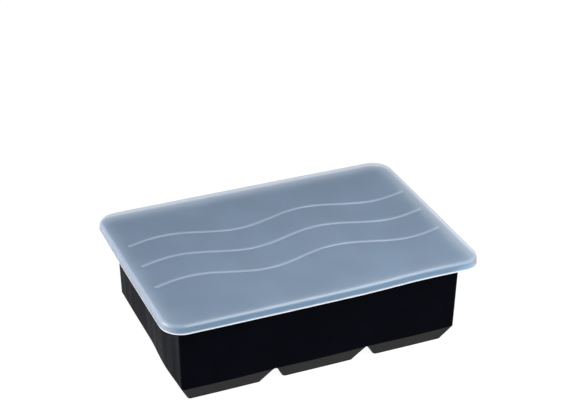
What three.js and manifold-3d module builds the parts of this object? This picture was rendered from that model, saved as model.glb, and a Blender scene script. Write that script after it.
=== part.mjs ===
// Six-cavity silicone soap mould with a translucent push-on lid.
//
// Millimetres, +Z up. The origin is at the middle of the footprint, on the plane that the
// feet stand on. +X runs along the long side (three cavities), +Y along the short side (two).
//
// The object is two separate pieces:
//   mould_tray  one silicone moulding: cavities, partitions, bevelled feet and flat rim
//   lid         one thin moulding: top plate, skirt around the rim and three wavy ribs

import * as THREE from 'three';
import { mergeVertices } from 'three/addons/utils/BufferGeometryUtils.js';
import Module from 'manifold-3d';

// ---- Driving dimensions ---------------------------------------------------------------------

// Cavities, measured just above their bevelled floor.
const COLUMNS = 3;
const ROWS = 2;
const CAVITY_WIDTH = 47.5;
const CAVITY_DEPTH = 53.9;
const CAVITY_CORNER_RADIUS = 1.5;

// Silicone thicknesses.
const WALL = 2.0;
const FLOOR = 2.0;
const RIM_THICKNESS = 2.2;

// Between two neighbouring cells, at the top of the groove that parts their feet.
const CELL_GAP = 2.75;

// Bevel around each foot, and the slope of every upright wall.
const BEVEL_HEIGHT = 10.1;
const BEVEL_INSET = 5.05;
const DRAFT_DEGREES = 1.27;
const BODY_CORNER_RADIUS = 2.0;

// Flat rim that stands out from the walls, under the lid.
const RIM_OVERHANG = 7.4;
const RIM_CORNER_RADIUS = 9.8;

// Lid, which drops over the rim.
const LID_SIDE_CLEARANCE = 0.9;
const LID_SEAT_CLEARANCE = 0.3;
const LID_SKIRT_THICKNESS = 1.3;
const LID_PLATE_THICKNESS = 1.3;
const LID_SKIRT_DEPTH = 4.3;
const LID_EDGE_RADIUS = 1.2;

// Wavy ribs on the lid.
const RIB_COUNT = 3;
const RIB_SPACING = 22.75;
const RIB_AMPLITUDE = 4.3;
const RIB_WAVES = 2;
const RIB_WIDTH = 1.8;
const RIB_HEIGHT = 0.45;
const RIB_END_MARGIN = 6.6;

// Facets, and how far a cutting tool runs past what it cuts.
const CORNER_SEGMENTS = 6;
const FILLET_SEGMENTS = 3;
const WAVE_SEGMENTS = 44;
const RIB_END_SEGMENTS = 4;
const CUT_MARGIN = 1.0;

// ---- Derived sizes --------------------------------------------------------------------------

const draftSlope = Math.tan(THREE.MathUtils.degToRad(DRAFT_DEGREES));
const bevelSlope = BEVEL_INSET / BEVEL_HEIGHT;
const cellWidth = CAVITY_WIDTH + 2 * WALL;
const cellPitch = cellWidth + CELL_GAP;
const bodyLength = COLUMNS * cellWidth + (COLUMNS - 1) * CELL_GAP;
const bodyDepth = ROWS * cellWidth + (ROWS - 1) * CELL_GAP;
const rimTop = FLOOR + CAVITY_DEPTH;
const rimBottom = rimTop - RIM_THICKNESS;
const lidUnderside = rimTop + LID_SEAT_CLEARANCE;
const lidTop = lidUnderside + LID_PLATE_THICKNESS;
const skirtBottom = lidUnderside - LID_SKIRT_DEPTH;

/** Width of a drafted wall pair at a height, from its width where the feet's bevels start. */
function draftedWidth(baseWidth, z) {
  return baseWidth + 2 * draftSlope * (z - BEVEL_HEIGHT);
}

const rimLength = draftedWidth(bodyLength, rimBottom) + 2 * RIM_OVERHANG;
const rimDepth = draftedWidth(bodyDepth, rimBottom) + 2 * RIM_OVERHANG;
const lidInnerLength = rimLength + 2 * LID_SIDE_CLEARANCE;
const lidInnerDepth = rimDepth + 2 * LID_SIDE_CLEARANCE;
const lidInnerRadius = RIM_CORNER_RADIUS + LID_SIDE_CLEARANCE;
const lidLength = lidInnerLength + 2 * LID_SKIRT_THICKNESS;
const lidDepth = lidInnerDepth + 2 * LID_SKIRT_THICKNESS;
const lidRadius = lidInnerRadius + LID_SKIRT_THICKNESS;

// ---- Solids ---------------------------------------------------------------------------------

const wasm = await Module();
wasm.setup();

/** Closed three.js geometry to a manifold solid. */
function solidFrom(geometry) {
  const bare = geometry.clone();
  bare.deleteAttribute('normal');
  bare.deleteAttribute('uv');
  const merged = mergeVertices(bare);
  return new wasm.Manifold(new wasm.Mesh({
    numProp: 3,
    vertProperties: new Float32Array(merged.attributes.position.array),
    triVerts: new Uint32Array(merged.index.array),
  }));
}

/** Manifold solid back to a three.js geometry. */
function geometryFrom(solid) {
  const mesh = solid.getMesh();
  const geometry = new THREE.BufferGeometry();
  geometry.setAttribute('position', new THREE.BufferAttribute(mesh.vertProperties, 3));
  geometry.setIndex(new THREE.BufferAttribute(mesh.triVerts, 1));
  geometry.computeVertexNormals();
  return geometry;
}

/** Rectangle with round corners, centred on the origin. */
function roundedRectangle(width, depth, radius) {
  const x = width / 2 - radius;
  const y = depth / 2 - radius;
  const outline = new THREE.Shape();
  outline.absarc(x, y, radius, 0, Math.PI / 2);
  outline.absarc(-x, y, radius, Math.PI / 2, Math.PI);
  outline.absarc(-x, -y, radius, Math.PI, 1.5 * Math.PI);
  outline.absarc(x, -y, radius, 1.5 * Math.PI, 2 * Math.PI);
  return outline;
}

/** One coordinate of a corner point, moved from one rounded rectangle's corner to another's. */
function movedToLevel(value, fromWidth, fromRadius, toWidth, toRadius) {
  const along = (Math.abs(value) - (fromWidth / 2 - fromRadius)) / fromRadius;
  return Math.sign(value) * (toWidth / 2 - toRadius + toRadius * along);
}

/**
 * Block with round corners whose section changes from level to level.
 * Each level is { z, width, depth, radius }; two levels may share a z to make a flat ledge.
 */
function levelledBlock(levels) {
  const [base] = levels;
  const steps = levels.length - 1;
  const geometry = new THREE.ExtrudeGeometry(
    roundedRectangle(base.width, base.depth, base.radius),
    { depth: steps, steps, bevelEnabled: false, curveSegments: CORNER_SEGMENTS },
  );
  const position = geometry.attributes.position;
  for (let i = 0; i < position.count; i += 1) {
    const level = levels[Math.round(position.getZ(i))];
    position.setXYZ(
      i,
      movedToLevel(position.getX(i), base.width, base.radius, level.width, level.radius),
      movedToLevel(position.getY(i), base.depth, base.radius, level.depth, level.radius),
      level.z,
    );
  }
  return geometry;
}

// ---- Tray -----------------------------------------------------------------------------------

/** Outside of the tray: bevelled base, drafted walls and flat rim, before any cut. */
function trayBlank() {
  const inset = 2 * BEVEL_INSET;
  const wallTop = {
    z: rimBottom,
    width: draftedWidth(bodyLength, rimBottom),
    depth: draftedWidth(bodyDepth, rimBottom),
    radius: BODY_CORNER_RADIUS,
  };
  return solidFrom(levelledBlock([
    { z: 0, width: bodyLength - inset, depth: bodyDepth - inset, radius: BODY_CORNER_RADIUS },
    { z: BEVEL_HEIGHT, width: bodyLength, depth: bodyDepth, radius: BODY_CORNER_RADIUS },
    wallTop,
    { z: rimBottom, width: rimLength, depth: rimDepth, radius: RIM_CORNER_RADIUS },
    { z: rimTop, width: rimLength, depth: rimDepth, radius: RIM_CORNER_RADIUS },
  ]));
}

/** Space inside one cavity, standing at the origin: bevelled floor, then drafted walls. */
function cavitySpace() {
  // The bevel keeps the wall's thickness, measured square to its slope.
  const slantedWall = WALL * Math.hypot(1, bevelSlope);
  const widthOnBevel = (z) => cellWidth - 2 * bevelSlope * (BEVEL_HEIGHT - z) - 2 * slantedWall;
  const bevelTop = BEVEL_HEIGHT + (slantedWall - WALL) / bevelSlope;
  const floorWidth = widthOnBevel(FLOOR);
  const mouthZ = rimTop + CUT_MARGIN;
  const mouthWidth = draftedWidth(CAVITY_WIDTH, mouthZ);
  const radius = CAVITY_CORNER_RADIUS;
  return levelledBlock([
    { z: FLOOR, width: floorWidth, depth: floorWidth, radius },
    { z: bevelTop, width: CAVITY_WIDTH, depth: CAVITY_WIDTH, radius },
    { z: mouthZ, width: mouthWidth, depth: mouthWidth, radius },
  ]);
}

/** Groove between two rows of feet, as a prism along Y through the origin. */
function footGroove(length) {
  const ceiling = CELL_GAP / 2;
  const mouth = ceiling + BEVEL_INSET + bevelSlope * CUT_MARGIN;
  const section = new THREE.Shape([
    new THREE.Vector2(-mouth, -CUT_MARGIN),
    new THREE.Vector2(mouth, -CUT_MARGIN),
    new THREE.Vector2(ceiling, BEVEL_HEIGHT),
    new THREE.Vector2(-ceiling, BEVEL_HEIGHT),
  ]);
  const geometry = new THREE.ExtrudeGeometry(section, { depth: length, bevelEnabled: false });
  geometry.rotateX(Math.PI / 2);
  geometry.translate(0, length / 2, 0);
  return geometry;
}

/** Centre of each cell along one side, for a count of cells. */
function cellCentres(count) {
  return Array.from({ length: count }, (_, i) => (i - (count - 1) / 2) * cellPitch);
}

/** Middle of each gap between neighbouring cells along one side. */
function gapCentres(count) {
  return cellCentres(count).slice(1).map((centre) => centre - cellPitch / 2);
}

function makeTray() {
  let tray = trayBlank();
  for (const x of gapCentres(COLUMNS)) {
    tray = tray.subtract(solidFrom(footGroove(rimDepth).translate(x, 0, 0)));
  }
  for (const y of gapCentres(ROWS)) {
    tray = tray.subtract(solidFrom(footGroove(rimLength).rotateZ(Math.PI / 2).translate(0, y, 0)));
  }
  for (const x of cellCentres(COLUMNS)) {
    for (const y of cellCentres(ROWS)) {
      tray = tray.subtract(solidFrom(cavitySpace().translate(x, y, 0)));
    }
  }
  return geometryFrom(tray);
}

// ---- Lid ------------------------------------------------------------------------------------

/** Outside of the lid, with its top edge rounded. */
function lidBlank() {
  const levels = [{ z: skirtBottom, width: lidLength, depth: lidDepth, radius: lidRadius }];
  for (let i = 0; i <= FILLET_SEGMENTS; i += 1) {
    const angle = (i / FILLET_SEGMENTS) * (Math.PI / 2);
    const inset = LID_EDGE_RADIUS * (1 - Math.cos(angle));
    levels.push({
      z: lidTop - LID_EDGE_RADIUS * (1 - Math.sin(angle)),
      width: lidLength - 2 * inset,
      depth: lidDepth - 2 * inset,
      radius: lidRadius - inset,
    });
  }
  return solidFrom(levelledBlock(levels));
}

/** Room under the lid for the tray's rim. */
function lidHollow() {
  const section = { width: lidInnerLength, depth: lidInnerDepth, radius: lidInnerRadius };
  return solidFrom(levelledBlock([
    { z: skirtBottom - CUT_MARGIN, ...section },
    { z: lidUnderside, ...section },
  ]));
}

/** Outline of one wavy rib seen from above: both sides of a sine wave, with round ends. */
function ribOutline(middleY) {
  const halfRun = lidLength / 2 - RIB_END_MARGIN;
  const turn = (RIB_WAVES * Math.PI) / halfRun;
  const wave = (x) => middleY + RIB_AMPLITUDE * Math.sin(turn * (x + halfRun));
  const heading = (x) => Math.atan(RIB_AMPLITUDE * turn * Math.cos(turn * (x + halfRun)));
  const points = [];
  const addPoint = (x, angle) => points.push(new THREE.Vector2(
    x + (RIB_WIDTH / 2) * Math.cos(angle),
    wave(x) + (RIB_WIDTH / 2) * Math.sin(angle),
  ));
  const addSide = (from, to, side) => {
    for (let i = 1; i < WAVE_SEGMENTS; i += 1) {
      const x = from + ((to - from) * i) / WAVE_SEGMENTS;
      addPoint(x, heading(x) + (side * Math.PI) / 2);
    }
  };
  const addEnd = (x, firstTurn) => {
    for (let i = 0; i <= RIB_END_SEGMENTS; i += 1) {
      addPoint(x, heading(x) + firstTurn + (Math.PI * i) / RIB_END_SEGMENTS);
    }
  };
  addEnd(halfRun, -Math.PI / 2);
  addSide(halfRun, -halfRun, 1);
  addEnd(-halfRun, Math.PI / 2);
  addSide(-halfRun, halfRun, -1);
  return new THREE.Shape(points);
}

/** One rib, sunk into the lid's plate so that the two join. */
function makeRib(middleY) {
  const root = LID_PLATE_THICKNESS / 2;
  const geometry = new THREE.ExtrudeGeometry(
    ribOutline(middleY),
    { depth: root + RIB_HEIGHT, bevelEnabled: false },
  );
  geometry.translate(0, 0, lidTop - root);
  return solidFrom(geometry);
}

function makeLid() {
  let lid = lidBlank().subtract(lidHollow());
  for (let i = 0; i < RIB_COUNT; i += 1) {
    lid = lid.add(makeRib((i - (RIB_COUNT - 1) / 2) * RIB_SPACING));
  }
  return geometryFrom(lid);
}

// ---- Assembly -------------------------------------------------------------------------------

const blackSilicone = new THREE.MeshStandardMaterial({
  color: 0x0c0e12,
  roughness: 0.55,
  metalness: 0,
});
const frostedLid = new THREE.MeshStandardMaterial({
  color: 0x8fa5bd,
  roughness: 0.45,
  metalness: 0,
  transparent: true,
  opacity: 0.6,
});

const mould = new THREE.Group();
const pieces = [
  ['mould_tray', makeTray(), blackSilicone],
  ['lid', makeLid(), frostedLid],
];
for (const [name, geometry, material] of pieces) {
  const mesh = new THREE.Mesh(geometry, material);
  mesh.name = name;
  mould.add(mesh);
}

export default mould;
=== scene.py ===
"""Six-cavity silicone soap mould under a frosted lid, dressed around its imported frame.

Lengths in this file are millimetres until a mesh is written, and metres from there on. The frame's
origin is the middle of the footprint on the floor, with +X along the mould's long side and +Z up.
"""

import logging
import math
from dataclasses import dataclass, field, replace
from enum import Enum
from typing import Any, Callable, Iterable, Sequence

import bmesh
import bpy
from mathutils import Matrix, Vector


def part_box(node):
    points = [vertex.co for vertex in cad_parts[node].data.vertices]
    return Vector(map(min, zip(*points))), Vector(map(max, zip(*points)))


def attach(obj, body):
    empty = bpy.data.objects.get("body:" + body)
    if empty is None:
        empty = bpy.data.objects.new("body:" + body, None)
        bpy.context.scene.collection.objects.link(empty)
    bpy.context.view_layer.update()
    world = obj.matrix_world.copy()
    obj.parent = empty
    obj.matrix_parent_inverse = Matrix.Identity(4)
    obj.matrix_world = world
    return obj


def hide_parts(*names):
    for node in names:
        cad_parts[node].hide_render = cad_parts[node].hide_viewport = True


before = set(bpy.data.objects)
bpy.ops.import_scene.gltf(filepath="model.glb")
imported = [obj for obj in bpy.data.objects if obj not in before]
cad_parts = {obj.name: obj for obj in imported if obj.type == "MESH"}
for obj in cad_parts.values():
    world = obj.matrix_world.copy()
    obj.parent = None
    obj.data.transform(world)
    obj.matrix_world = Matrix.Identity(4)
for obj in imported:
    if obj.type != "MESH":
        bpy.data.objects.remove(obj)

MM = 0.001
QUARTER = math.pi / 2
WHITE = (1.0, 1.0, 1.0, 1.0)
# A fractal noise seldom leaves this range.
NOISE_LOW, NOISE_HIGH = 0.3, 0.7
# Settings that several shader nodes share.
SMOOTH = {"interpolation_type": "SMOOTHSTEP"}
COLOURS = {"data_type": "RGBA"}
PRODUCT = {"operation": "MULTIPLY"}
SUM = {"operation": "ADD"}
DIFFERENCE = {"operation": "SUBTRACT"}
LARGER = {"operation": "MAXIMUM"}
UNSIGNED = {"operation": "ABSOLUTE"}
LEAST_RADIUS = 0.05
FLAT_FACE_WEIGHT = 80

log = logging.getLogger("soap_mould")

Point2 = tuple[float, float]
Point3 = tuple[float, float, float]


class Body(Enum):
    """Moving bodies of the frame."""

    MOULD = "mould"
    LID = "lid"


class Node(Enum):
    """CAD nodes that the finer pieces stand for."""

    TRAY = "mould_tray"
    LID = "lid"


class Slot(Enum):
    """Material slots of the record."""

    SILICONE = "black_silicone"
    FROSTED = "frosted_lid"


# ---- Small mesh tools ---------------------------------------------------------------------------


@dataclass(frozen=True)
class Section:
    """A level rounded rectangle, centred on the vertical axis."""

    z: float
    half_x: float
    half_y: float
    radius: float

    def outline(self, corner_steps: int) -> list[Point3]:
        """Corner points, anticlockwise from the +X side.

        Args:
            corner_steps: Straight steps in each quarter circle.

        Returns:
            One closed ring of points, without a repeated last point.
        """
        centre_x, centre_y = self.half_x - self.radius, self.half_y - self.radius
        points = []
        for quarter, (sign_x, sign_y) in enumerate(((1, 1), (-1, 1), (-1, -1), (1, -1))):
            for step in range(corner_steps + 1):
                angle = QUARTER * (quarter + step / corner_steps)
                points.append((
                    sign_x * centre_x + self.radius * math.cos(angle),
                    sign_y * centre_y + self.radius * math.sin(angle),
                    self.z,
                ))
        return points

    def grown(self, by: float, z: float) -> "Section":
        """The same outline pushed out by a distance, at another height."""
        radius = max(self.radius + by, LEAST_RADIUS)
        return Section(z, self.half_x + by, self.half_y + by, radius)


def arc_steps(count: int) -> Iterable[Point2]:
    """Sine and cosine along a quarter circle, from 0 to 90 degrees.

    Args:
        count: Number of steps.

    Returns:
        One pair for each end of a step, from the start on.
    """
    for step in range(count + 1):
        angle = QUARTER * step / count
        yield math.sin(angle), math.cos(angle)


def object_from(name: str, mesh: bpy.types.Mesh) -> bpy.types.Object:
    """Links a new object that shows a mesh.

    Args:
        name: Name of the new object.
        mesh: What it shows.

    Returns:
        The new object.
    """
    piece = bpy.data.objects.new(name, mesh)
    bpy.context.scene.collection.objects.link(piece)
    return piece


def solid_from_rings(name: str, rings: Sequence[Sequence[Point3]]) -> bpy.types.Object:
    """Closed solid that joins equal rings of points in order and caps both ends.

    Args:
        name: Name of the new object.
        rings: Rings in millimetres, all with the same number of points.

    Returns:
        The new object, in metres, with its faces pointing out.
    """
    shape = bmesh.new()
    loops = [[shape.verts.new(Vector(point) * MM) for point in ring] for ring in rings]
    for lower, upper in zip(loops, loops[1:]):
        for index in range(len(lower)):
            after = (index + 1) % len(lower)
            shape.faces.new((lower[index], lower[after], upper[after], upper[index]))
    shape.faces.new(tuple(reversed(loops[0])))
    shape.faces.new(loops[-1])
    bmesh.ops.recalc_face_normals(shape, faces=shape.faces)
    mesh = bpy.data.meshes.new(name)
    shape.to_mesh(mesh)
    shape.free()
    return object_from(name, mesh)


def loft(name: str, sections: Sequence[Section], corner_steps: int) -> bpy.types.Object:
    """Closed solid through a stack of rounded rectangles.

    Args:
        name: Name of the new object.
        sections: The rounded rectangles, in order.
        corner_steps: Straight steps in each quarter circle.

    Returns:
        The new object.
    """
    return solid_from_rings(name, [section.outline(corner_steps) for section in sections])


def apply_modifiers(piece: bpy.types.Object) -> None:
    """Writes what the modifiers make into the mesh, and removes them.

    Args:
        piece: The object with the modifiers.
    """
    bpy.context.view_layer.update()
    seen = piece.evaluated_get(bpy.context.evaluated_depsgraph_get())
    made = bpy.data.meshes.new_from_object(seen)
    piece.modifiers.clear()
    piece.data = made


def combine(piece: bpy.types.Object, tools: Sequence[bpy.types.Object], how: str) -> None:
    """Cuts or joins closed solids, and removes the tools.

    Args:
        piece: The solid that stays.
        tools: Solids that don't touch each other.
        how: DIFFERENCE or UNION.
    """
    for tool in tools:
        step = piece.modifiers.new("combine", "BOOLEAN")
        step.object = tool
        step.operation = how
        step.solver = "EXACT"
        step.material_mode = "TRANSFER"
        apply_modifiers(piece)
        bpy.data.objects.remove(tool)


def round_edges(piece: bpy.types.Object, width: float, steps: int, above_degrees: float) -> None:
    """Rounds every edge that turns by more than an angle.

    Args:
        piece: The object to round.
        width: Width of the rounding in millimetres.
        steps: Straight steps across it.
        above_degrees: Least turn of an edge that is rounded.
    """
    bevel = piece.modifiers.new("round", "BEVEL")
    bevel.width = width * MM
    bevel.segments = steps
    bevel.limit_method = "ANGLE"
    bevel.angle_limit = math.radians(above_degrees)
    bevel.miter_outer = "MITER_ARC"
    apply_modifiers(piece)


def between(value: float, low: float, high: float) -> float:
    """Share of the way from one bound to the other, kept from 0 to 1."""
    return min(max((value - low) / (high - low), 0.0), 1.0)


def slice_evenly(piece: bpy.types.Object, spacing: Point3) -> None:
    """Cuts a mesh along level planes, so that its flat walls have points to bend at.

    Args:
        piece: The object to cut.
        spacing: Millimetres between the planes square to X, Y and Z. Zero leaves an axis uncut.
    """
    merge = 1e-7
    shape = bmesh.new()
    shape.from_mesh(piece.data)
    for axis, step in enumerate(spacing):
        if not step:
            continue
        places = [vertex.co[axis] for vertex in shape.verts]
        low, high = min(places), max(places)
        normal = Vector([float(axis == other) for other in range(3)])
        for index in range(math.ceil(low / (step * MM)), math.floor(high / (step * MM)) + 1):
            # Half a step off the middle, so that no plane lies in a symmetry plane's own edges.
            place = (index + 0.5) * step * MM
            everything = [*shape.verts, *shape.edges, *shape.faces]
            bmesh.ops.bisect_plane(
                shape, geom=everything, dist=merge, plane_co=normal * place, plane_no=normal
            )
    shape.to_mesh(piece.data)
    shape.free()


def warp(piece: bpy.types.Object, rule: Callable[[Vector], Vector]) -> None:
    """Moves every point of a mesh by a rule in millimetres."""
    for vertex in piece.data.vertices:
        vertex.co = rule(vertex.co / MM) * MM


def shade(piece: bpy.types.Object, crease_degrees: float = 40.0) -> None:
    """Smooth shading that large flat faces keep flat, with creases above an angle.

    Args:
        piece: The object to shade.
        crease_degrees: Least turn of an edge that stays sharp.
    """
    piece.data.shade_smooth()
    piece.data.set_sharp_from_angle(angle=math.radians(crease_degrees))
    weighted = piece.modifiers.new("flat_faces_rule", "WEIGHTED_NORMAL")
    weighted.keep_sharp = True
    weighted.weight = FLAT_FACE_WEIGHT
    apply_modifiers(piece)


def place_piece(
    piece: bpy.types.Object, body: Body, node: Node, finishes: Sequence[bpy.types.Material]
) -> None:
    """Ties a finished piece to the frame and gives it its materials.

    Args:
        piece: The finished object.
        body: Body that it moves with.
        node: CAD node that it stands for.
        finishes: One material per slot of the mesh, in order.
    """
    for index, finish in enumerate(finishes):
        if index < len(piece.data.materials):
            piece.data.materials[index] = finish
        else:
            piece.data.materials.append(finish)
    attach(piece, body.value)
    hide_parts(node.value)
    low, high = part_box(node.value)
    log.info(
        "%s: %d faces, stands for %s, %.1f mm high",
        piece.name, len(piece.data.polygons), node.value, (high.z - low.z) / MM,
    )


# ---- Finishes -----------------------------------------------------------------------------------


def linear(hex_colour: str) -> tuple[float, float, float, float]:
    """sRGB hex colour, such as #8090a0, as linear red, green, blue and a full alpha.

    Args:
        hex_colour: The colour, with its leading hash.

    Returns:
        Red, green, blue and alpha from 0 to 1.
    """
    channels = [int(hex_colour[place:place + 2], 16) / 255 for place in (1, 3, 5)]
    curve = [c / 12.92 if c <= 0.04045 else ((c + 0.055) / 1.055) ** 2.4 for c in channels]
    return (*curve, 1.0)


def add_node(
    tree: bpy.types.NodeTree, kind: str, settings: dict[str, Any] | None = None,
    inputs: Sequence[Any] | dict[str | int, Any] = (),
) -> bpy.types.Node:
    """Adds one shader node.

    Args:
        tree: The material's node tree.
        kind: Node type without its ShaderNode prefix.
        settings: Properties of the node.
        inputs: Values, sockets or nodes for its inputs, in order or by name or number. A node
            stands for its first output in use.

    Returns:
        The new node.
    """
    node = tree.nodes.new("ShaderNode" + kind)
    for name, value in (settings or {}).items():
        setattr(node, name, value)
    for name, value in inputs.items() if isinstance(inputs, dict) else enumerate(inputs):
        if isinstance(value, bpy.types.Node):
            value = next(output for output in value.outputs if output.enabled)
        if isinstance(value, bpy.types.NodeSocket):
            tree.links.new(value, node.inputs[name])
        else:
            node.inputs[name].default_value = value
    return node


def new_material(name: str) -> tuple[bpy.types.Material, bpy.types.NodeTree]:
    """Makes an empty node material.

    Args:
        name: Name of the material.

    Returns:
        The material and its tree.
    """
    material = bpy.data.materials.new(name)
    material.use_nodes = True
    material.node_tree.nodes.clear()
    return material, material.node_tree


def finish_with(tree: bpy.types.NodeTree, inputs: dict[str, Any]) -> None:
    """Ends a tree with its surface shader and output."""
    shader = add_node(tree, "BsdfPrincipled", None, inputs)
    add_node(tree, "OutputMaterial", None, {"Surface": shader})


def grain(
    tree: bpy.types.NodeTree, size_mm: float, detail: float, upright: float = 1.0
) -> bpy.types.Node:
    """Uneven pattern in the object's own coordinates, with features of a real size.

    Args:
        tree: The material's node tree.
        size_mm: Size of a feature in millimetres.
        detail: How many finer layers are added.
        upright: Below 1, how much slower it changes along Z than along X and Y.

    Returns:
        The node that gives the pattern, mostly between 0.3 and 0.7.
    """
    place = add_node(tree, "TexCoord").outputs["Object"]
    if upright != 1.0:
        place = add_node(tree, "Mapping", None, {"Vector": place, "Scale": (1.0, 1.0, upright)})
    return add_node(
        tree, "TexNoise", None, {"Vector": place, "Scale": 1 / (size_mm * MM), "Detail": detail}
    )


@dataclass(frozen=True)
class BlackSilicone:
    """Pressure-moulded black silicone rubber.

    A deep, slightly blue black with a satin skin. Its bevelled undersides are painted paler, as
    painted light bounced up from the floor, so they read as charcoal beside the walls; their lower
    edge stays dark as painted contact shade.
    """

    name: str = "silicone_rubber_moulded_black"
    skin: str = "#020308"
    mottle: str = "#03040c"
    # Painted light: a paler colour on the bevels, standing in for light bounced up from the floor.
    floor_bounce_light: str = "#2a292a"
    # Bevels face down by about 27 degrees. Walls lean down by barely one, and soles by 90.
    bevel_facing: Point2 = (-0.16, -0.38)
    sole_facing: Point2 = (-0.74, -0.52)
    # Painted shade: the lowest part of the bevels stays dark, as contact shade.
    shaded_edge_mm: Point2 = (0.44, 1.1)
    roughness: float = 0.5
    rough_spread: float = 0.05
    streak_polish: float = 0.08
    refraction: float = 1.41
    reflectance: float = 0.025
    skin_grain_mm: float = 0.9
    mottle_mm: float = 14.0
    mottle_span: Point2 = (0.4, 0.65)
    streak_mm: float = 6.5
    streak_stretch: float = 0.05
    bump_mm: float = 0.006
    bump_share: float = 0.6
    streak_bump_mm: float = 0.14
    streak_bump_share: float = 0.5

    def material(self) -> bpy.types.Material:
        """Builds the node material.

        Returns:
            The new material.
        """
        material, tree = new_material(self.name)
        # Press moulds leave a faint orange-peel; 0.9 mm is as fine as it can be and still show.
        fine = grain(tree, self.skin_grain_mm, 3.0)
        broad = grain(tree, self.mottle_mm, 2.0)
        # Draw marks: soft upright waves where the rubber was pulled off its core.
        streaks = grain(tree, self.streak_mm, 1.0, self.streak_stretch)
        skin = add_node(tree, "Mix", COLOURS, {
            0: add_node(tree, "MapRange", SMOOTH, (broad, *self.mottle_span)),
            6: linear(self.skin), 7: linear(self.mottle),
        })
        # Painted light on the bevels, from the floor below.
        colour = add_node(tree, "Mix", COLOURS, {
            0: self.floor_light_share(tree), 6: skin, 7: linear(self.floor_bounce_light),
        })
        least, most = self.roughness - self.rough_spread, self.roughness + self.rough_spread
        grained = add_node(tree, "MapRange", SMOOTH, (fine, NOISE_LOW, NOISE_HIGH, least, most))
        # The same draw marks polish the skin unevenly.
        polish = add_node(tree, "MapRange", SMOOTH, (
            streaks, NOISE_LOW, NOISE_HIGH, 1 - self.streak_polish, 1 + self.streak_polish,
        ))
        waves = add_node(tree, "Bump", None, {
            "Strength": self.streak_bump_share, "Distance": self.streak_bump_mm * MM,
            "Height": streaks,
        })
        peel = add_node(tree, "Bump", None, {
            "Strength": self.bump_share, "Distance": self.bump_mm * MM, "Height": fine,
            "Normal": waves,
        })
        finish_with(tree, {
            "Base Color": colour,
            "Roughness": add_node(tree, "Math", PRODUCT, (grained, polish)),
            "Normal": peel,
            "IOR": self.refraction,
            "Specular IOR Level": self.reflectance,
        })
        return material

    def floor_light_share(self, tree: bpy.types.NodeTree) -> bpy.types.Node:
        """Where painted light from the floor lies: on the bevels, but not on their lower edge, left
        dark as painted contact shade, or the soles.

        Args:
            tree: The material's node tree.

        Returns:
            The node that gives the share of painted light.
        """
        normal = add_node(tree, "NewGeometry").outputs["Normal"]
        down = add_node(tree, "SeparateXYZ", None, (normal,)).outputs["Z"]
        bevels = add_node(tree, "Math", PRODUCT, (
            add_node(tree, "MapRange", SMOOTH, (down, *self.bevel_facing)),
            add_node(tree, "MapRange", SMOOTH, (down, *self.sole_facing)),
        ))
        place = add_node(tree, "TexCoord").outputs["Object"]
        height = add_node(tree, "SeparateXYZ", None, (place,)).outputs["Z"]
        # Painted contact shade: no painted light close to the floor.
        shaded_below, lit_above = self.shaded_edge_mm
        above_contact_shade = add_node(tree, "MapRange", SMOOTH, (height, shaded_below * MM, lit_above * MM))
        return add_node(tree, "Math", PRODUCT, (bevels, above_contact_shade))


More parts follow.
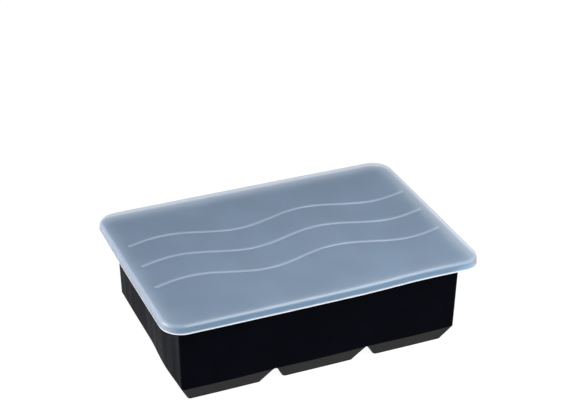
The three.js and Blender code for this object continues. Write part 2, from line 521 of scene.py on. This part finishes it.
@dataclass(frozen=True)
class FrostedPolypropylene:
    """Thin injection-moulded polypropylene, natural colour, with a frosted skin.

    Milky and slightly blue where it lies over black. Painted light makes it near white where light
    would come through from behind, with a painted sheen along its rounded edges, and painted shade
    darkens its long skirts.
    """

    name: str = "polypropylene_frosted_thin"
    body: str = "#afc9e3"
    # Painted shade on the long skirts, painted light on the end skirts.
    long_skirt_painted_shade: str = "#97bbdb"
    end_skirt_painted_light: str = "#c0c8d3"
    # Colour of the painted light along the edges and over the partitions.
    painted_edge_light: str = "#e6ebf0"
    # Ranges of the surface normal over which one part of the lid passes into the next.
    plate_facing: Point2 = (0.1, 0.55)
    top_facing: Point2 = (0.25, 0.9)
    left_facing: Point2 = (-0.4, -0.85)
    right_facing: Point2 = (0.15, 0.6)
    # Painted light along the lid's edge: the tail and the band are strongest at the back right, the
    # line at the left.
    tail_mm: float = 17.0
    tail_strength: float = 0.42
    band_mm: float = 2.8
    band_strength: float = 0.75
    tail_shift_mm: Point2 = (2.3, 4.5)
    line_mm: float = 3.0
    line_strength: float = 0.2
    line_shift_mm: Point2 = (-2.0, -0.5)
    partition_mm: float = 27.1
    partition_fade_mm: Point2 = (3.2, 1.0)
    painted_partition_light: float = 0.04
    clear_share: float = 0.7
    clear_at_rim: float = 0.25
    roughness: float = 0.36
    rough_spread: Point2 = (-0.05, 0.07)
    rough_span: Point2 = (0.25, 0.75)
    refraction: float = 1.49
    frost_mm: float = 0.7
    haze_mm: float = 26.0
    haze_span: Point2 = (0.35, 0.65)
    haze_shade: float = 0.93
    bump_mm: float = 0.012
    bump_share: float = 0.5

    def material(self, plan: Section, forward: float) -> bpy.types.Material:
        """Builds the node material.

        Args:
            plan: The lid's outline, in millimetres.
            forward: How far the lid sits in front of the middle, in millimetres.

        Returns:
            The new material.
        """
        material, tree = new_material(self.name)
        # Spark-eroded frosting is about 0.1 mm across, drawn at 0.7 mm so that it can be seen.
        fine = grain(tree, self.frost_mm, 2.0)
        facing = add_node(tree, "SeparateXYZ", None, (
            add_node(tree, "NewGeometry").outputs["Normal"],
        ))
        up, right = facing.outputs["Z"], facing.outputs["X"]
        # Painted light: the plate is painted paler over the last millimetres of its edge, where
        # nothing black lies under it.
        plate = add_node(tree, "MapRange", SMOOTH, (up, *self.plate_facing))
        rim = add_node(tree, "Math", PRODUCT, (self.rim(tree, plan, forward), plate))
        with_edge_light = add_node(tree, "Mix", COLOURS, {
            0: rim, 6: self.hazed(tree), 7: linear(self.painted_edge_light),
        })
        # Painted light and shade: the end skirts are painted pale, as white light passing through
        # where they stand clear of the walls, and the long ones painted darker, as shade over black.
        colour = add_node(tree, "Mix", COLOURS, {
            0: add_node(tree, "MapRange", SMOOTH, (up, *self.top_facing)),
            6: linear(self.long_skirt_painted_shade), 7: with_edge_light,
        })
        ends = add_node(tree, "Math", LARGER, (
            add_node(tree, "MapRange", SMOOTH, (right, *self.left_facing)),
            add_node(tree, "MapRange", SMOOTH, (right, *self.right_facing)),
        ))
        least, most = (self.roughness + change for change in self.rough_spread)
        finish_with(tree, {
            "Base Color": add_node(tree, "Mix", COLOURS, {
                0: ends, 6: colour, 7: linear(self.end_skirt_painted_light),
            }),
            "Roughness": add_node(tree, "MapRange", SMOOTH, (fine, *self.rough_span, least, most)),
            "Normal": add_node(tree, "Bump", None, {
                "Strength": self.bump_share, "Distance": self.bump_mm * MM, "Height": fine,
            }),
            "IOR": self.refraction,
            "Transmission Weight": add_node(
                tree, "MapRange", SMOOTH, (rim, 0.0, 1.0, self.clear_share, self.clear_at_rim)
            ),
        })
        return material

    def hazed(self, tree: bpy.types.NodeTree) -> bpy.types.Node:
        """Body colour, faintly uneven with the wall's thickness, with a faint line of painted light
        where partitions touch.

        Args:
            tree: The material's node tree.

        Returns:
            The node that gives the colour.
        """
        body = linear(self.body)
        thin = (*(channel * self.haze_shade for channel in body[:3]), 1.0)
        haze = grain(tree, self.haze_mm, 1.5)
        uneven = add_node(tree, "Mix", COLOURS, {
            0: add_node(tree, "MapRange", SMOOTH, (haze, *self.haze_span)), 6: thin, 7: body,
        })
        place = add_node(tree, "TexCoord").outputs["Object"]
        across = add_node(tree, "SeparateXYZ", None, (place,)).outputs["X"]
        from_middle = add_node(tree, "Math", UNSIGNED, (across,))
        away = add_node(tree, "Math", UNSIGNED, (
            add_node(tree, "Math", DIFFERENCE, (from_middle, self.partition_mm * MM)),
        ))
        # Painted light: a faint pale line over the partition tops.
        far, near = self.partition_fade_mm
        touching = add_node(
            tree, "MapRange", SMOOTH, (away, far * MM, near * MM, 0.0, self.painted_partition_light)
        )
        return add_node(tree, "Mix", COLOURS, {0: touching, 6: uneven, 7: linear(self.painted_edge_light)})

    def rim(self, tree: bpy.types.NodeTree, plan: Section, forward: float) -> bpy.types.Node:
        """Painted light along the lid's outline: a narrow band with a long soft tail, and a faint
        line.

        Args:
            tree: The material's node tree.
            plan: The lid's outline, in millimetres.
            forward: How far the lid sits in front of the middle, in millimetres.

        Returns:
            The node that gives the share of painted light.
        """
        past = self.past_edge(tree, plan, forward, self.tail_shift_mm)
        fade = add_node(tree, "MapRange", SMOOTH, (
            past, -self.tail_mm * MM, 0.0, 0.0, math.sqrt(self.tail_strength),
        ))
        tail = add_node(tree, "Math", PRODUCT, (fade, fade))
        band = add_node(
            tree, "MapRange", SMOOTH, (past, -self.band_mm * MM, 0.0, 0.0, self.band_strength)
        )
        past_line = self.past_edge(tree, plan, forward, self.line_shift_mm)
        line = add_node(
            tree, "MapRange", SMOOTH, (past_line, -self.line_mm * MM, 0.0, 0.0, self.line_strength)
        )
        widest = add_node(tree, "Math", LARGER, (tail, band))
        return add_node(tree, "Math", LARGER, (widest, line))

    def past_edge(
        self, tree: bpy.types.NodeTree, plan: Section, forward: float, shift: Point2
    ) -> bpy.types.Node:
        """Distance past the lid's outline in plan, negative inside it.

        Args:
            tree: The material's node tree.
            plan: The lid's outline, in millimetres.
            forward: How far the lid sits in front of the middle, in millimetres.
            shift: How far the outline is moved against the lid, in millimetres.

        Returns:
            The node that gives the distance in metres.
        """
        place = add_node(tree, "TexCoord").outputs["Object"]
        offset = (shift[0] * MM, (forward + shift[1]) * MM, 0.0)
        corner = ((plan.half_x - plan.radius) * MM, (plan.half_y - plan.radius) * MM, 1.0)
        moved = add_node(tree, "VectorMath", SUM, (place, offset))
        folded = add_node(tree, "VectorMath", UNSIGNED, (moved,))
        past = add_node(tree, "VectorMath", DIFFERENCE, (folded, corner))
        outside = add_node(tree, "VectorMath", LARGER, (past, (0.0, 0.0, 0.0)))
        length = add_node(tree, "VectorMath", {"operation": "LENGTH"}, (outside,))
        parts = add_node(tree, "SeparateXYZ", None, (past,))
        nearest = add_node(tree, "Math", LARGER, (parts.outputs["X"], parts.outputs["Y"]))
        inside = add_node(tree, "Math", {"operation": "MINIMUM"}, (nearest, 0.0))
        signed = add_node(tree, "Math", SUM, (length, inside))
        return add_node(tree, "Math", DIFFERENCE, (signed, plan.radius * MM))


@dataclass(frozen=True)
class HemPaintedLight:
    """Trimmed edge of the polypropylene lid.

    Painted light: the hem is painted near white, standing in for light that travels inside the thin
    wall and comes out here, so it reads as a bright line.
    """

    name: str = "polypropylene_hem_painted_light"
    # Colour of the painted highlight along the hem.
    glow: str = "#f2f5f8"
    clear_share: float = 0.25
    roughness: float = 0.36
    refraction: float = 1.49
    frost_mm: float = 0.7
    bump_mm: float = 0.012
    bump_share: float = 0.5

    def material(self) -> bpy.types.Material:
        """Builds the node material.

        Returns:
            The new material.
        """
        material, tree = new_material(self.name)
        finish_with(tree, {
            "Base Color": linear(self.glow),
            "Roughness": self.roughness,
            "Normal": add_node(tree, "Bump", None, {
                "Strength": self.bump_share, "Distance": self.bump_mm * MM,
                "Height": grain(tree, self.frost_mm, 2.0),
            }),
            "IOR": self.refraction,
            "Transmission Weight": self.clear_share,
        })
        return material


@dataclass(frozen=True)
class PaleFloor:
    """Matt white laminate under the mould. Bright and even, with a soft contact shadow."""

    name: str = "laminate_matt_white"
    colour: str = "#5c5c5c"
    roughness: float = 0.85
    reflectance: float = 0.1
    glow: float = 0.95

    def material(self) -> bpy.types.Material:
        """Builds the node material.

        Returns:
            The new material.
        """
        material, tree = new_material(self.name)
        finish_with(tree, {
            "Base Color": linear(self.colour),
            "Roughness": self.roughness,
            "Specular IOR Level": self.reflectance,
            "Emission Color": WHITE,
            "Emission Strength": self.glow,
        })
        return material


# ---- Tray ---------------------------------------------------------------------------------------


@dataclass
class MouldTray:
    """The silicone tray: cavities in two rows of three, bevelled feet and a flat rim.

    It repeats the frame's own sizes and adds what only shows up close: rounded edges, an eased
    mouth, and walls that have gone a little slack.
    """

    columns: int = 3
    rows: int = 2
    cavity_width: float = 47.5
    wall: float = 2.0
    floor: float = 2.0
    cell_gap: float = 2.75
    bevel_height: float = 10.1
    bevel_inset: float = 5.05
    draft_degrees: float = 1.27
    body_radius: float = 1.5
    rim_thickness: float = 2.2
    rim_radius: float = 9.8
    cavity_radius: float = 3.0
    mouth_radius: float = 0.7
    mouth_share: float = 0.98
    mouth_clear: float = 0.6
    floor_radius: float = 1.6
    bevel_ease: float = 0.8
    bevel_round: float = 0.12
    edge_width: float = 1.2
    edge_steps: int = 3
    edge_turn_degrees: float = 24.0
    foot_radius: float = 1.6
    groove_roof: float = 0.6
    tool_reach: float = 5.0
    tool_drop: float = 4.0
    bulge: float = 1.0
    long_side_bulge: float = 0.4
    front_slack: float = 1.3
    back_slack: float = -0.1
    swell_start: float = -6.0
    swell_skew: float = 0.8
    swell_depths: Point2 = (12.0, 3.0)
    slices: Point3 = (4.5, 4.4, 5.0)
    corner_steps: int = 6
    fillet_steps: int = 4
    finish: BlackSilicone = field(default_factory=BlackSilicone)

    def __post_init__(self) -> None:
        """Reads the tray's box from the frame and works out what follows from it."""
        _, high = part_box(Node.TRAY.value)
        self.rim_half_x, self.rim_half_y, self.rim_top = (value / MM for value in high)
        self.rim_bottom = self.rim_top - self.rim_thickness
        self.slope = math.tan(math.radians(self.draft_degrees))
        self.tilt = self.bevel_inset / self.bevel_height
        self.cell = self.cavity_width + 2 * self.wall
        self.pitch = self.cell + self.cell_gap
        self.half_x = (self.columns * self.pitch - self.cell_gap) / 2
        self.half_y = (self.rows * self.pitch - self.cell_gap) / 2

    def drafted(self, half: float, z: float) -> float:
        """Half width of a wall pair at a height, from its half width at the top of the bevels."""
        return half + self.slope * (z - self.bevel_height)

    def centres(self, count: int) -> list[float]:
        """Middles of the cells along one side."""
        return [(index - (count - 1) / 2) * self.pitch for index in range(count)]

    def blank(self) -> bpy.types.Object:
        """Outside of the tray, before any cut.

        Returns:
            A closed solid with a rim and bevelled feet in one piece.
        """
        top_x, top_y = (self.drafted(half, self.rim_bottom) for half in (self.half_x, self.half_y))
        inset, radius = self.bevel_inset, self.body_radius
        rim = Section(self.rim_bottom, self.rim_half_x, self.rim_half_y, self.rim_radius)
        return loft("mould_tray_fine", [
            Section(0.0, self.half_x - inset, self.half_y - inset, radius),
            Section(self.bevel_height, self.half_x, self.half_y, radius),
            Section(self.rim_bottom, top_x, top_y, radius),
            rim,
            replace(rim, z=self.rim_top),
        ], self.corner_steps)

    def groove(self, along_x: bool, place: float) -> bpy.types.Object:
        """Tool that cuts the groove between two rows of feet and rounds their corners.

        Args:
            along_x: True for a groove along X, False for one along Y.
            place: Where it lies on the other axis.

        Returns:
            A prism that runs past the feet at both ends and below, and flares where it comes out.
        """
        reach = max(self.rim_half_x, self.rim_half_y) + self.tool_reach
        face = (self.half_x if along_x else self.half_y) - self.bevel_inset
        # Each ring runs up parallel to the bevel, at its own depth behind it.
        stations = [(-reach, self.foot_radius)]
        for sine, cosine in arc_steps(self.fillet_steps):
            stations.append((self.foot_radius * (1 - cosine), self.foot_radius * (1 - sine)))
        rings = []
        for side, order in ((-1, stations), (1, stations[::-1])):
            for depth, flare in order:
                ring = []
                for across, z in self.groove_section(flare):
                    run = side * (face + self.tilt * z - depth)
                    ring.append((run, place + across, z) if along_x else (place + across, run, z))
                rings.append(ring)
        return solid_from_rings("groove", rings)

    def groove_section(self, flare: float) -> list[Point2]:
        """Outline of a groove, with flanks that spread by the flare at the soles.

        Args:
            flare: How far each flank moves out at the soles, in millimetres.

        Returns:
            Pairs of distance across and height.
        """
        ceiling = self.cell_gap / 2
        spread = (self.bevel_inset + flare) / self.bevel_height
        mouth = ceiling + spread * (self.bevel_height + self.tool_drop)
        section = [(-mouth, -self.tool_drop), (mouth, -self.tool_drop)]
        # The roof is an arch that leaves the flanks smoothly.
        springing = self.bevel_height - self.groove_roof
        for step in range(self.fillet_steps * 2 + 1):
            angle = math.pi * step / (self.fillet_steps * 2)
            section.append((
                ceiling * math.cos(angle), springing + self.groove_roof * math.sin(angle),
            ))
        return section

    def cavity(self, x: float, y: float) -> bpy.types.Object:
        """Tool that cuts one cavity: rounded floor, bevel, drafted wall and eased mouth.

        Args:
            x: Middle of the cell along the tray.
            y: Middle of the cell across the tray.

        Returns:
            A closed solid in the shape of a poured bar, taller than the tray.
        """
        half = self.cavity_width / 2
        bevel_top = self.bevel_height + self.wall * (math.hypot(1, self.tilt) - 1) / self.tilt
        floor_half = half - self.tilt * (bevel_top - self.floor)
        # Pairs of height and half width, from the floor up.
        profile = []
        for sine, cosine in arc_steps(self.fillet_steps):
            # The floor turns up into the bevel along a short curve.
            rise = self.floor_radius * (1 - cosine)
            run = floor_half - self.floor_radius * (1 - sine) + rise * self.tilt
            profile.append((self.floor + rise, run))
        above = bevel_top + self.bevel_ease
        profile.append((bevel_top - self.bevel_ease, half - self.bevel_ease * self.tilt))
        profile.append((bevel_top, half - self.bevel_round))
        profile.append((above, self.drafted(half, above)))
        mouth = self.rim_top - self.mouth_radius
        wall_top = self.drafted(half, mouth)
        for sine, cosine in arc_steps(self.fillet_steps):
            # It stops just under the rim's top, and the last ring then leaves the tray.
            rise = self.mouth_radius * sine * self.mouth_share
            profile.append((mouth + rise, wall_top + self.mouth_radius * (1 - cosine)))
        profile.append((self.rim_top + self.mouth_clear, profile[-1][1] + self.mouth_clear))
        rings = [
            Section(z, run, run, self.cavity_radius).outline(self.corner_steps) for z, run in profile
        ]
        moved = [[(x + px, y + py, pz) for px, py, pz in ring] for ring in rings]
        return solid_from_rings("cavity", moved)

    def swollen(self, point: Vector) -> Vector:
        """Outer walls that belly out a little across each cavity, as soft rubber walls do.

        Args:
            point: A point of the tray, in millimetres.

        Returns:
            Where it moves to.
        """
        height = between(point.z, self.swell_start, self.rim_bottom)
        rise = math.sin(math.pi * height ** self.swell_skew) ** 2
        slack = self.front_slack if point.y < 0 else self.back_slack
        moved = point.copy()
        for axis, other, half, count, strength in (
            (0, 1, self.half_x, self.rows, self.bulge),
            (1, 0, self.half_y, self.columns, self.bulge * self.long_side_bulge),
        ):
            nearest = min(self.centres(count), key=lambda centre: abs(point[other] - centre))
            across = math.cos(math.pi * min(abs(point[other] - nearest) / self.pitch, 0.5)) ** 2
            # Only the outer walls move. The partitions further in stay straight.
            inner, outer = (half - depth for depth in self.swell_depths)
            depth = between(abs(point[axis]), inner, outer)
            moved[axis] += math.copysign(slack * strength * rise * across * depth, point[axis])
        return moved

    def build(self) -> bpy.types.Object:
        """Makes the tray and ties it to the frame.

        Returns:
            The finished piece.
        """
        tray = self.blank()
        grooves = [
            self.groove(False, centre - self.pitch / 2) for centre in self.centres(self.columns)[1:]
        ]
        grooves += [
            self.groove(True, centre - self.pitch / 2) for centre in self.centres(self.rows)[1:]
        ]
        combine(tray, grooves, "DIFFERENCE")
        round_edges(tray, self.edge_width, self.edge_steps, self.edge_turn_degrees)
        cavities = [
            self.cavity(x, y) for x in self.centres(self.columns) for y in self.centres(self.rows)
        ]
        combine(tray, cavities, "DIFFERENCE")
        slice_evenly(tray, self.slices)
        warp(tray, self.swollen)
        shade(tray)
        place_piece(tray, Body.MOULD, Node.TRAY, [self.finish.material()])
        return tray


# ---- Lid ----------------------------------------------------------------------------------------


@dataclass
class MouldLid:
    """The frosted lid: a thin plate with a skirt around the rim and three wavy ribs.

    It sits a little forward on the tray, and its front edge stands a little higher towards the
    right, as a thin cover does that was pressed on by hand.
    """

    plate: float = 0.8
    skirt_thickness: float = 1.2
    skirt_depth: float = 5.4
    sag: float = 0.2
    forward: float = 0.6
    lip: float = 0.3
    lip_height: float = 0.9
    plan_radius: float = 11.5
    edge_radius: float = 2.1
    inner_radius: float = 0.8
    hem_radius: float = 0.58
    hem_height: float = 0.8
    bow_x: float = 0.3
    bow_y: float = 0.4
    front_lift: float = 0.9
    lift_middle: float = 56.0
    lift_run: float = 42.0
    left_trim: float = 0.6
    left_trim_power: int = 8
    left_trim_skew: float = 0.7
    slices: Point3 = (6.0, 6.0, 0.0)
    rib_count: int = 3
    rib_spacing: float = 22.75
    rib_amplitude: float = 4.3
    rib_waves: int = 2
    rib_width: float = 2.4
    rib_height: float = 0.45
    rib_end_margin: float = 7.0
    rib_shift: float = 0.5
    rib_root: float = 0.5
    rib_tip: float = 0.08
    corner_steps: int = 16
    fillet_steps: int = 6
    wave_steps: int = 160
    finish: FrostedPolypropylene = field(default_factory=FrostedPolypropylene)
    rib_finish: FrostedPolypropylene = field(
        default_factory=lambda: FrostedPolypropylene(
            name="polypropylene_frosted_rib", body="#c6d8ee", clear_share=0.62
        )
    )
    # Painted light along the hem.
    hem_painted_light: HemPaintedLight = field(default_factory=HemPaintedLight)

    def __post_init__(self) -> None:
        """Reads the lid's box from the frame."""
        _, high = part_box(Node.LID.value)
        self.half_x, self.half_y = high.x / MM, high.y / MM
        self.top = high.z / MM - self.rib_height - self.sag
        self.bottom = self.top - self.skirt_depth

    def shell(self) -> bpy.types.Object:
        """Plate and skirt as one closed wall, drawn from the underside round to the top.

        Returns:
            The lid without its ribs.
        """
        outer = Section(self.bottom, self.half_x, self.half_y, self.plan_radius)
        inner = outer.grown(-self.skirt_thickness, self.bottom)
        under = self.top - self.plate
        sections = []
        for sine, cosine in arc_steps(self.fillet_steps):
            # Underside of the plate, turning down into the inside of the skirt.
            sections.append(inner.grown(
                -self.inner_radius * (1 - sine), under - self.inner_radius * (1 - cosine)
            ))
        for sine, cosine in arc_steps(self.fillet_steps):
            sections.append(inner.grown(
                self.hem_radius * (1 - cosine), self.bottom + self.hem_radius * (1 - sine)
            ))
        for sine, cosine in arc_steps(self.fillet_steps):
            sections.append(outer.grown(
                self.lip - self.hem_radius * (1 - sine), self.bottom + self.hem_radius * (1 - cosine)
            ))
        for sine, cosine in arc_steps(self.fillet_steps):
            # The bead along the hem turns back into the skirt.
            height = self.bottom + self.lip_height + self.lip * sine
            sections.append(outer.grown(self.lip * cosine, height))
        for sine, cosine in arc_steps(self.fillet_steps):
            sections.append(outer.grown(
                -self.edge_radius * (1 - cosine), self.top - self.edge_radius * (1 - sine)
            ))
        return loft("lid_fine", sections, self.corner_steps)

    def rib(self, middle: float) -> bpy.types.Object:
        """One rib: a low round bead along a sine wave, with ends that taper to nothing.

        Args:
            middle: Where its wave is centred across the lid, in millimetres.

        Returns:
            A closed solid that reaches a little into the plate.
        """
        half_run = self.half_x - self.rib_end_margin
        turn = self.rib_waves * math.pi / half_run
        end_run = self.rib_width / 2
        rings = []
        for step in range(self.wave_steps + 1):
            # Steps crowd together at the ends, where the bead rounds off.
            along = -half_run * math.cos(math.pi * step / self.wave_steps)
            from_end = min(half_run - abs(along), end_run) / end_run
            swell = max(math.sqrt(1 - (1 - from_end) ** 2), self.rib_tip)
            phase = turn * (along + half_run)
            y = middle + self.rib_amplitude * math.sin(phase)
            heading = math.atan(self.rib_amplitude * turn * math.cos(phase))
            half_width = self.rib_width / 2 * swell
            ring = []
            for side in range(self.fillet_steps * 2 + 1):
                angle = math.pi * side / (self.fillet_steps * 2)
                lift = self.rib_height * swell * math.sin(angle)
                ring.append((half_width * math.cos(angle), self.top + lift))
            ring.append((-half_width, self.top - self.rib_root))
            ring.append((half_width, self.top - self.rib_root))
            middle_x, sine, cosine = along + self.rib_shift, math.sin(heading), math.cos(heading)
            rings.append([(middle_x - across * sine, y + across * cosine, z) for across, z in ring])
        return solid_from_rings("rib", rings)

    def bowed(self, point: Vector) -> Vector:
        """Sides that bow out at their middles, and a front edge that stands a little off the rim.

        Args:
            point: A point of the lid, in millimetres.

        Returns:
            Where it moves to.
        """
        share_x, share_y = point.x / self.half_x, point.y / self.half_y
        x = point.x * (1 - self.bow_x / self.half_x * share_y ** 2)
        y = point.y * (1 - self.bow_y / self.half_y * share_x ** 2)
        along = min(abs(point.x - self.lift_middle) / self.lift_run, 1.0)
        near_front = min(max(-share_y, 0.0), 1.0)
        lift = self.front_lift * math.cos(QUARTER * along) ** 2 * near_front ** 2
        at_left = max(-share_x, 0.0) ** self.left_trim_power * (1 + self.left_trim_skew * share_y)
        lift += self.left_trim * at_left * (self.top - point.z) / self.skirt_depth
        return Vector((x, y - self.forward, point.z + lift))

    def build(self) -> bpy.types.Object:
        """Makes the lid and ties it to the frame.

        Returns:
            The finished piece.
        """
        plan = Section(self.bottom, self.half_x, self.half_y, self.plan_radius)
        plain = self.finish.material(plan, self.forward)
        thick = self.rib_finish.material(plan, self.forward)
        hem = self.hem_painted_light.material()
        lid = self.shell()
        lid.data.materials.append(plain)
        first = -(self.rib_count - 1) / 2
        ribs = [self.rib((first + index) * self.rib_spacing) for index in range(self.rib_count)]
        for rib in ribs:
            rib.data.materials.append(thick)
        combine(lid, ribs, "UNION")
        lid.data.materials.append(hem)
        # The hem is told apart before the lid is bowed, while it still lies level.
        for face in lid.data.polygons:
            if face.center.z < (self.bottom + self.hem_height) * MM:
                face.material_index = len(lid.data.materials) - 1
        slice_evenly(lid, self.slices)
        warp(lid, self.bowed)
        shade(lid)
        place_piece(lid, Body.LID, Node.LID, [plain, thick, hem])
        return lid


# ---- Studio -------------------------------------------------------------------------------------


@dataclass(frozen=True)
class SoftLight:
    """One square soft box aimed at the mould. Angles are in degrees, and lengths in metres."""

    name: str
    azimuth: float
    elevation: float
    distance: float
    size: float
    watts: float
    colour: str

    def build(self, target: Vector) -> None:
        """Hangs the light and turns it to the target.

        Args:
            target: Point that it shines on, in metres.
        """
        data = bpy.data.lights.new(self.name, "AREA")
        data.size = self.size
        data.energy = self.watts
        data.color = linear(self.colour)[:3]
        lamp = bpy.data.objects.new(self.name, data)
        bpy.context.scene.collection.objects.link(lamp)
        away = direction(self.azimuth, self.elevation)
        lamp.location = target + away * self.distance
        lamp.rotation_euler = away.to_track_quat("Z", "Y").to_euler()


def direction(azimuth: float, elevation: float) -> Vector:
    """Unit vector towards an azimuth and elevation.

    Args:
        azimuth: Degrees round from the front, at -Y, towards +X.
        elevation: Degrees above level.

    Returns:
        The vector.
    """
    turn, lift = math.radians(azimuth), math.radians(elevation)
    return Vector((
        math.sin(turn) * math.cos(lift), -math.cos(turn) * math.cos(lift), math.sin(lift),
    ))


@dataclass
class Studio:
    """Pale floor, soft light and the camera. Angles are in degrees, and lengths in metres."""

    azimuth: float = -22.82
    elevation: float = 29.27
    roll: float = 0.15
    distance: float = 0.9535
    lens_mm: float = 97.32
    sensor_mm: float = 36.0
    sight: float = 20.0
    target: Point3 = (0.03636, 0.08157, 0.025)
    light_target: Point3 = (0.0, 0.0, 0.03)
    ambient: float = 0.31
    floor_size: float = 8.0
    floor_drop: float = 0.0002
    floor_finish: PaleFloor = field(default_factory=PaleFloor)
    lights: tuple[SoftLight, ...] = (
        SoftLight("side_left", -100.0, 12.5, 1.2, 0.7, 20.5, "#eff2ff"),
        SoftLight("top_front_right", 18.0, 46.0, 0.45, 0.3, 2.45, "#fffaf5"),
    )

    def build(self) -> None:
        """Makes the whole studio."""
        self.build_floor()
        self.build_world()
        for light in self.lights:
            light.build(Vector(self.light_target))
        self.build_camera()
        bpy.context.scene.view_settings.view_transform = "Standard"

    def build_floor(self) -> None:
        """A large level sheet just under the feet."""
        half = self.floor_size / 2
        corners = ((-half, -half), (half, -half), (half, half), (-half, half))
        mesh = bpy.data.meshes.new("studio_floor")
        mesh.from_pydata([(x, y, -self.floor_drop) for x, y in corners], [], [(0, 1, 2, 3)])
        floor = object_from("studio_floor", mesh)
        floor.data.materials.append(self.floor_finish.material())

    def build_world(self) -> None:
        """Even white surroundings."""
        world = bpy.data.worlds.new("studio_surround")
        world.use_nodes = True
        background = world.node_tree.nodes["Background"]
        background.inputs["Color"].default_value = WHITE
        background.inputs["Strength"].default_value = self.ambient
        bpy.context.scene.world = world

    def build_camera(self) -> None:
        """Long lens from the front left, a little above."""
        data = bpy.data.cameras.new("studio_camera")
        data.lens = self.lens_mm
        data.sensor_width = self.sensor_mm
        data.clip_end = self.sight
        camera = bpy.data.objects.new("studio_camera", data)
        bpy.context.scene.collection.objects.link(camera)
        away = direction(self.azimuth, self.elevation)
        facing = away.to_track_quat("Z", "Y").to_matrix().to_4x4()
        turned = facing @ Matrix.Rotation(math.radians(self.roll), 4, "Z")
        camera.matrix_world = Matrix.Translation(Vector(self.target) + away * self.distance) @ turned
        bpy.context.scene.camera = camera


def main() -> None:
    """Builds the pieces and the studio."""
    logging.basicConfig(level=logging.INFO, format="%(name)s %(message)s")
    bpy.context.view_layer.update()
    for maker in (MouldTray(), MouldLid()):
        piece = maker.build()
        log.info("built %s", piece.name)
    Studio().build()


if __name__ == "__main__":
    main()
